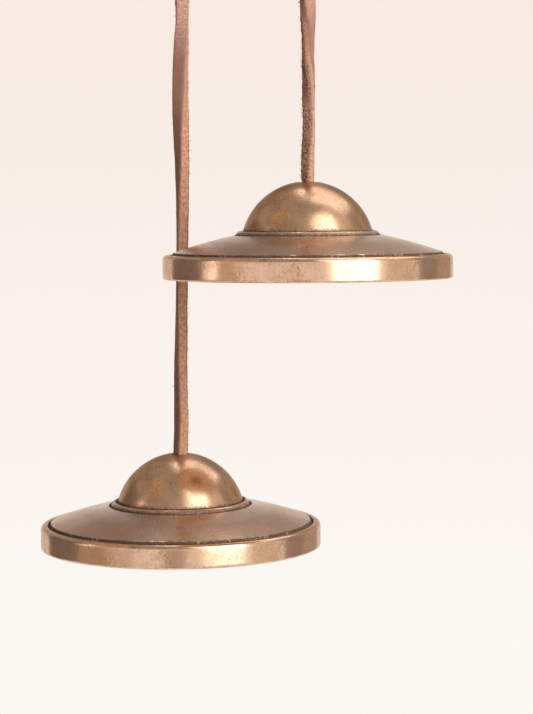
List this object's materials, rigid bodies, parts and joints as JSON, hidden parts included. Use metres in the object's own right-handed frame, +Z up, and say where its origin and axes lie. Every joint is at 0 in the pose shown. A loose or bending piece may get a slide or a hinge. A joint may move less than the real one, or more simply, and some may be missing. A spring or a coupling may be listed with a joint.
{
  "type": "tingsha hand cymbals",
  "caption": "Small domed bronze hand cymbals hung from the ends of a leather thong, struck rim to rim to ring.",
  "frame": {"origin": "underside of the thong's bight, where it lies on the finger or peg that holds the pair up", "axes": "+Z up; the bight's arch lies in the XZ plane, with the upper cymbal on its +X leg and the lower one on its -X leg"},
  "size_m": [0.1092, 0.071, 0.162],
  "materials": {
    "bronze": "satin turned bronze with dark patina in the grooves",
    "thong": "brown grain face with fuzzy cut edges"
  },
  "bodies": {
    "bight": {"strap_bight": "thong"},
    "upper_neck": {"upper_strap_neck": "thong"},
    "upper_run": {"upper_strap_run": "thong"},
    "upper_foot": {"upper_strap_foot": "thong"},
    "upper_end": {"upper_strap_end": "thong", "upper_knot": "thong"},
    "upper_bell": {"upper_cymbal": "bronze"},
    "lower_neck": {"lower_strap_neck": "thong"},
    "lower_run": {"lower_strap_run": "thong"},
    "lower_foot": {"lower_strap_foot": "thong"},
    "lower_end": {"lower_strap_end": "thong", "lower_knot": "thong"},
    "lower_bell": {"lower_cymbal": "bronze"}
  },
  "joints": [
    {"name": "upper_swing_out", "type": "hinge", "parent": "bight", "child": "upper_neck", "pos_m": [0.0193, 0, -0.0201], "axis": [0, -1, 0], "range_deg": [0, 40]},
    {"name": "upper_swing_across", "type": "hinge", "parent": "upper_neck", "child": "upper_run", "pos_m": [0.0193, 0, -0.0301], "axis": [1, 0, 0], "range_deg": [-40, 40]},
    {"name": "upper_tilt_across", "type": "hinge", "parent": "upper_run", "child": "upper_foot", "pos_m": [0.0193, 0, -0.053], "axis": [1, 0, 0], "range_deg": [-40, 40]},
    {"name": "upper_tilt_out", "type": "hinge", "parent": "upper_foot", "child": "upper_end", "pos_m": [0.0193, 0, -0.063], "axis": [0, -1, 0], "range_deg": [-2, 40]},
    {"name": "upper_spin", "type": "hinge", "parent": "upper_end", "child": "upper_bell", "pos_m": [0.0193, 0, -0.0665], "axis": [-0.0169, 0.0127, 0.9998], "continuous": true},
    {"name": "lower_swing_out", "type": "hinge", "parent": "bight", "child": "lower_neck", "pos_m": [-0.0193, 0, -0.0201], "axis": [0, 1, 0], "range_deg": [0, 40]},
    {"name": "lower_swing_across", "type": "hinge", "parent": "lower_neck", "child": "lower_run", "pos_m": [-0.0193, 0, -0.0301], "axis": [1, 0, 0], "range_deg": [-40, 40]},
    {"name": "lower_tilt_across", "type": "hinge", "parent": "lower_run", "child": "lower_foot", "pos_m": [-0.0193, 0, -0.1212], "axis": [1, 0, 0], "range_deg": [-40, 40]},
    {"name": "lower_tilt_out", "type": "hinge", "parent": "lower_foot", "child": "lower_end", "pos_m": [-0.0193, 0, -0.1312], "axis": [0, 1, 0], "range_deg": [-40, 40]},
    {"name": "lower_spin", "type": "hinge", "parent": "lower_end", "child": "lower_bell", "pos_m": [-0.0193, 0, -0.1347], "axis": [0.007, -0.0318, 0.9995], "continuous": true}
  ]
}
